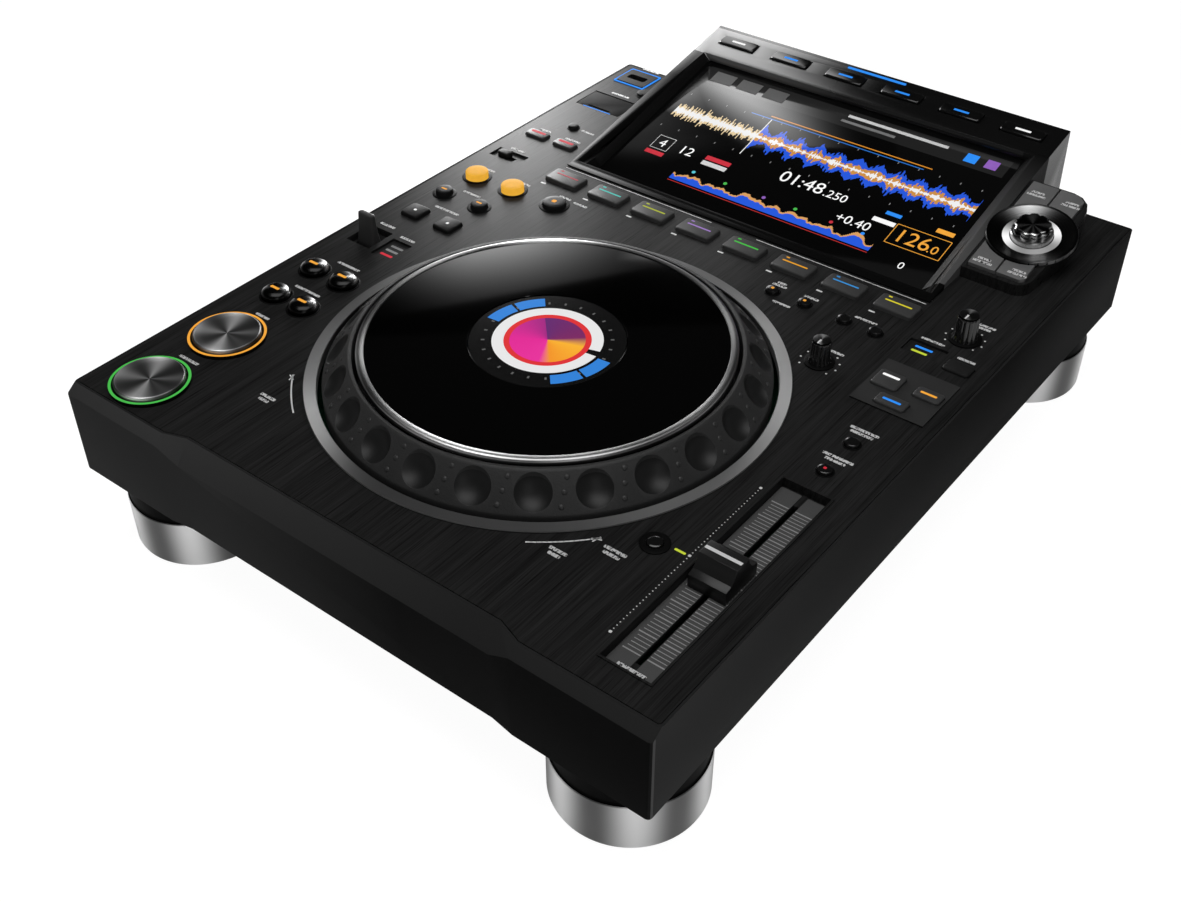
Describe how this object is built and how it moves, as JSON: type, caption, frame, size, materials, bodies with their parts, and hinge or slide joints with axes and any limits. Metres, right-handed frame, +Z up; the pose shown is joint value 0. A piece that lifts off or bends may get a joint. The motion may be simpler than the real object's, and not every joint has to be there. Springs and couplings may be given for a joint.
{
  "type": "tabletop media player",
  "caption": "Flat black tabletop music player with a large dimpled jog wheel, a tilted touch display overhanging the rear, tempo fader, round transport keys and four thick metal feet.",
  "frame": {"origin": "on the table, at the middle of the player's footprint", "axes": "+Z up, +Y from the user's edge to the rear, +X to the user's right"},
  "size_m": [0.329, 0.453, 0.118],
  "materials": {
    "shell_black": "fine moulded satin",
    "deck_brushed": "black hairline brushed",
    "chassis_grey": "matt painted sheet",
    "board_green": "solder mask",
    "screen_glass": "glossy black glass",
    "bright_metal": "satin turned",
    "dark_metal": "radially brushed",
    "gloss_black": "piano black",
    "grip_black": "satin moulded",
    "key_metal": "dark chrome",
    "key_black": "satin",
    "amber": "lit translucent cap",
    "key_smoke": "smoky translucent",
    "knob_black": "black with metallised top"
  },
  "bodies": {
    "casing": {"body_shell": "shell_black", "deck_plate": "deck_brushed", "base_chassis": "chassis_grey", "circuit_board": "board_green", "display_housing": "shell_black", "display_glass": "screen_glass", "foot_front_left": "bright_metal", "foot_front_right": "bright_metal", "foot_rear_left": "bright_metal", "foot_rear_right": "bright_metal", "jog_trim_ring": "bright_metal", "jog_bearing": "dark_metal", "jog_display": "gloss_black"},
    "jog": {"jog_grip_ring": "grip_black", "jog_top_plate": "gloss_black"},
    "play_pause_button": {"play_pause_button": "dark_metal"},
    "cue_button": {"cue_button": "dark_metal"},
    "search_keys": {"search_keys": "key_metal"},
    "track_search_keys": {"track_search_keys": "key_metal"},
    "direction_lever": {"direction_lever": "key_black"},
    "beat_jump_keys": {"beat_jump_keys": "key_black"},
    "beat_loop_keys": {"beat_loop_keys": "key_black"},
    "loop_in_button": {"loop_in_button": "amber"},
    "loop_out_button": {"loop_out_button": "amber"},
    "reloop_button": {"reloop_button": "key_black"},
    "lock_switch": {"lock_switch": "key_black"},
    "slip_button": {"slip_button": "key_smoke"},
    "quantize_button": {"quantize_button": "key_smoke"},
    "time_mode_button": {"time_mode_button": "key_black"},
    "sd_card_door": {"sd_card_door": "key_smoke"},
    "usb_stop_button": {"usb_stop_button": "key_black"},
    "hot_cue_1": {"hot_cue_1": "key_smoke"},
    "hot_cue_2": {"hot_cue_2": "key_smoke"},
    "hot_cue_3": {"hot_cue_3": "key_smoke"},
    "hot_cue_4": {"hot_cue_4": "key_smoke"},
    "hot_cue_5": {"hot_cue_5": "key_smoke"},
    "hot_cue_6": {"hot_cue_6": "key_smoke"},
    "hot_cue_7": {"hot_cue_7": "key_smoke"},
    "hot_cue_8": {"hot_cue_8": "key_smoke"},
    "call_keys": {"call_keys": "key_black"},
    "memory_keys": {"memory_keys": "key_black"},
    "release_knob": {"release_knob": "knob_black"},
    "jog_adjust_knob": {"jog_adjust_knob": "knob_black"},
    "jog_mode_button": {"jog_mode_button": "key_black"},
    "beat_sync_button": {"beat_sync_button": "key_smoke"},
    "master_button": {"master_button": "key_smoke"},
    "key_sync_button": {"key_sync_button": "key_smoke"},
    "tempo_keys": {"tempo_keys": "key_black"},
    "tempo_reset_button": {"tempo_reset_button": "key_black"},
    "tempo_slider": {"tempo_slider": "key_black"},
    "rotary_selector": {"rotary_selector": "knob_black"},
    "browse_upper_keys": {"browse_upper_keys": "key_smoke"},
    "browse_lower_keys": {"browse_lower_keys": "key_smoke"},
    "menu_button_1": {"menu_button_1": "key_black"},
    "menu_button_2": {"menu_button_2": "key_black"},
    "menu_button_3": {"menu_button_3": "key_black"},
    "menu_button_4": {"menu_button_4": "key_black"},
    "menu_button_5": {"menu_button_5": "key_black"},
    "menu_button_6": {"menu_button_6": "key_black"},
    "power_switch": {"power_switch": "key_black"}
  },
  "joints": [
    {"name": "jog_spin", "type": "hinge", "parent": "casing", "child": "jog", "pos_m": [0, -0.0817, 0.087], "axis": [0, 0, 1], "continuous": true},
    {"name": "play_pause_button_press", "type": "slide", "parent": "casing", "child": "play_pause_button", "axis": [0, 0, -1], "range_m": [0, 0.0015], "stiffness_N_per_m": 300},
    {"name": "cue_button_press", "type": "slide", "parent": "casing", "child": "cue_button", "axis": [0, 0, -1], "range_m": [0, 0.0015], "stiffness_N_per_m": 300},
    {"name": "search_keys_tilt", "type": "hinge", "parent": "casing", "child": "search_keys", "pos_m": [-0.1345, -0.1167, 0.0821], "axis": [0, 1, 0], "range_deg": [-2.5, 2.5], "stiffness_Nm_per_rad": 0.4},
    {"name": "track_search_keys_tilt", "type": "hinge", "parent": "casing", "child": "track_search_keys", "pos_m": [-0.13555, -0.0892, 0.0821], "axis": [0, 1, 0], "range_deg": [-2.5, 2.5], "stiffness_Nm_per_rad": 0.4},
    {"name": "direction_lever_tilt", "type": "hinge", "parent": "casing", "child": "direction_lever", "pos_m": [-0.147, -0.0493, 0.08225], "axis": [1, 0, 0], "range_deg": [-12, 12]},
    {"name": "beat_jump_keys_tilt", "type": "hinge", "parent": "casing", "child": "beat_jump_keys", "pos_m": [-0.1331, -0.0165, 0.0821], "axis": [0, 1, 0], "range_deg": [-2.5, 2.5], "stiffness_Nm_per_rad": 0.4},
    {"name": "beat_loop_keys_tilt", "type": "hinge", "parent": "casing", "child": "beat_loop_keys", "pos_m": [-0.13385, 0.0083, 0.0821], "axis": [0, 1, 0], "range_deg": [-2.5, 2.5], "stiffness_Nm_per_rad": 0.4},
    {"name": "loop_in_button_press", "type": "slide", "parent": "casing", "child": "loop_in_button", "axis": [0, 0, -1], "range_m": [0, 0.0015], "stiffness_N_per_m": 300},
    {"name": "loop_out_button_press", "type": "slide", "parent": "casing", "child": "loop_out_button", "axis": [0, 0, -1], "range_m": [0, 0.0015], "stiffness_N_per_m": 300},
    {"name": "reloop_button_press", "type": "slide", "parent": "casing", "child": "reloop_button", "axis": [0, 0, -1], "range_m": [0, 0.0015], "stiffness_N_per_m": 300},
    {"name": "lock_switch_slide", "type": "slide", "parent": "casing", "child": "lock_switch", "axis": [1, 0, 0], "range_m": [0, 0.0055]},
    {"name": "slip_button_press", "type": "slide", "parent": "casing", "child": "slip_button", "axis": [0, 0, -1], "range_m": [0, 0.0015], "stiffness_N_per_m": 300},
    {"name": "quantize_button_press", "type": "slide", "parent": "casing", "child": "quantize_button", "axis": [0, 0, -1], "range_m": [0, 0.0015], "stiffness_N_per_m": 300},
    {"name": "time_mode_button_press", "type": "slide", "parent": "casing", "child": "time_mode_button", "axis": [0, 0, -1], "range_m": [0, 0.0015], "stiffness_N_per_m": 300},
    {"name": "sd_card_door_hinge", "type": "hinge", "parent": "casing", "child": "sd_card_door", "pos_m": [-0.1422, 0.15705, 0.0862], "axis": [-1, 0, 0], "range_deg": [0, 70]},
    {"name": "usb_stop_button_press", "type": "slide", "parent": "casing", "child": "usb_stop_button", "axis": [0, 0, -1], "range_m": [0, 0.0015], "stiffness_N_per_m": 300},
    {"name": "hot_cue_1_press", "type": "slide", "parent": "casing", "child": "hot_cue_1", "axis": [0, 0, -1], "range_m": [0, 0.0015], "stiffness_N_per_m": 300},
    {"name": "hot_cue_2_press", "type": "slide", "parent": "casing", "child": "hot_cue_2", "axis": [0, 0, -1], "range_m": [0, 0.0015], "stiffness_N_per_m": 300},
    {"name": "hot_cue_3_press", "type": "slide", "parent": "casing", "child": "hot_cue_3", "axis": [0, 0, -1], "range_m": [0, 0.0015], "stiffness_N_per_m": 300},
    {"name": "hot_cue_4_press", "type": "slide", "parent": "casing", "child": "hot_cue_4", "axis": [0, 0, -1], "range_m": [0, 0.0015], "stiffness_N_per_m": 300},
    {"name": "hot_cue_5_press", "type": "slide", "parent": "casing", "child": "hot_cue_5", "axis": [0, 0, -1], "range_m": [0, 0.0015], "stiffness_N_per_m": 300},
    {"name": "hot_cue_6_press", "type": "slide", "parent": "casing", "child": "hot_cue_6", "axis": [0, 0, -1], "range_m": [0, 0.0015], "stiffness_N_per_m": 300},
    {"name": "hot_cue_7_press", "type": "slide", "parent": "casing", "child": "hot_cue_7", "axis": [0, 0, -1], "range_m": [0, 0.0015], "stiffness_N_per_m": 300},
    {"name": "hot_cue_8_press", "type": "slide", "parent": "casing", "child": "hot_cue_8", "axis": [0, 0, -1], "range_m": [0, 0.0015], "stiffness_N_per_m": 300},
    {"name": "call_keys_tilt", "type": "hinge", "parent": "casing", "child": "call_keys", "pos_m": [0.05615, 0.0351, 0.0821], "axis": [0, 1, 0], "range_deg": [-2.5, 2.5], "stiffness_Nm_per_rad": 0.4},
    {"name": "memory_keys_tilt", "type": "hinge", "parent": "casing", "child": "memory_keys", "pos_m": [0.0962, 0.0345, 0.0821], "axis": [0, 1, 0], "range_deg": [-2.5, 2.5], "stiffness_Nm_per_rad": 0.4},
    {"name": "release_knob_turn", "type": "hinge", "parent": "casing", "child": "release_knob", "pos_m": [0.0958, -0.0014, 0.087], "axis": [0, 0, 1], "range_deg": [-135, 135]},
    {"name": "jog_adjust_knob_turn", "type": "hinge", "parent": "casing", "child": "jog_adjust_knob", "pos_m": [0.1403, 0.0564, 0.087], "axis": [0, 0, 1], "range_deg": [-135, 135]},
    {"name": "jog_mode_button_press", "type": "slide", "parent": "casing", "child": "jog_mode_button", "axis": [0, 0, -1], "range_m": [0, 0.0015], "stiffness_N_per_m": 300},
    {"name": "beat_sync_button_press", "type": "slide", "parent": "casing", "child": "beat_sync_button", "axis": [0, 0, -1], "range_m": [0, 0.0015], "stiffness_N_per_m": 300},
    {"name": "master_button_press", "type": "slide", "parent": "casing", "child": "master_button", "axis": [0, 0, -1], "range_m": [0, 0.0015], "stiffness_N_per_m": 300},
    {"name": "key_sync_button_press", "type": "slide", "parent": "casing", "child": "key_sync_button", "axis": [0, 0, -1], "range_m": [0, 0.0015], "stiffness_N_per_m": 300},
    {"name": "tempo_keys_tilt", "type": "hinge", "parent": "casing", "child": "tempo_keys", "pos_m": [0.138, -0.056, 0.0821], "axis": [1, 0, 0], "range_deg": [-2.5, 2.5], "stiffness_Nm_per_rad": 0.4},
    {"name": "tempo_reset_button_press", "type": "slide", "parent": "casing", "child": "tempo_reset_button", "axis": [0, 0, -1], "range_m": [0, 0.0015], "stiffness_N_per_m": 300},
    {"name": "tempo_slider_slide", "type": "slide", "parent": "casing", "child": "tempo_slider", "axis": [0, 1, 0], "range_m": [-0.048, 0.048]},
    {"name": "rotary_selector_turn", "type": "hinge", "parent": "casing", "child": "rotary_selector", "pos_m": [0.133, 0.1391, 0.10066], "axis": [0, -0.2006, 0.9797], "continuous": true},
    {"name": "browse_upper_keys_tilt", "type": "hinge", "parent": "casing", "child": "browse_upper_keys", "pos_m": [0.13, 0.1402, 0.09527], "axis": [0, 0.9797, 0.2006], "range_deg": [-2, 2], "stiffness_Nm_per_rad": 0.4},
    {"name": "browse_lower_keys_tilt", "type": "hinge", "parent": "casing", "child": "browse_lower_keys", "pos_m": [0.13, 0.1402, 0.09527], "axis": [0, 0.9797, 0.2006], "range_deg": [-2, 2], "stiffness_Nm_per_rad": 0.4},
    {"name": "menu_button_1_press", "type": "slide", "parent": "casing", "child": "menu_button_1", "axis": [0, 0.2006, -0.9797], "range_m": [0, 0.001], "stiffness_N_per_m": 300},
    {"name": "menu_button_2_press", "type": "slide", "parent": "casing", "child": "menu_button_2", "axis": [0, 0.2006, -0.9797], "range_m": [0, 0.001], "stiffness_N_per_m": 300},
    {"name": "menu_button_3_press", "type": "slide", "parent": "casing", "child": "menu_button_3", "axis": [0, 0.2006, -0.9797], "range_m": [0, 0.001], "stiffness_N_per_m": 300},
    {"name": "menu_button_4_press", "type": "slide", "parent": "casing", "child": "menu_button_4", "axis": [0, 0.2006, -0.9797], "range_m": [0, 0.001], "stiffness_N_per_m": 300},
    {"name": "menu_button_5_press", "type": "slide", "parent": "casing", "child": "menu_button_5", "axis": [0, 0.2006, -0.9797], "range_m": [0, 0.001], "stiffness_N_per_m": 300},
    {"name": "menu_button_6_press", "type": "slide", "parent": "casing", "child": "menu_button_6", "axis": [0, 0.2006, -0.9797], "range_m": [0, 0.001], "stiffness_N_per_m": 300},
    {"name": "power_switch_tilt", "type": "hinge", "parent": "casing", "child": "power_switch", "pos_m": [-0.082, 0.1974, 0.0565], "axis": [1, 0, 0], "range_deg": [-7, 7]}
  ]
}
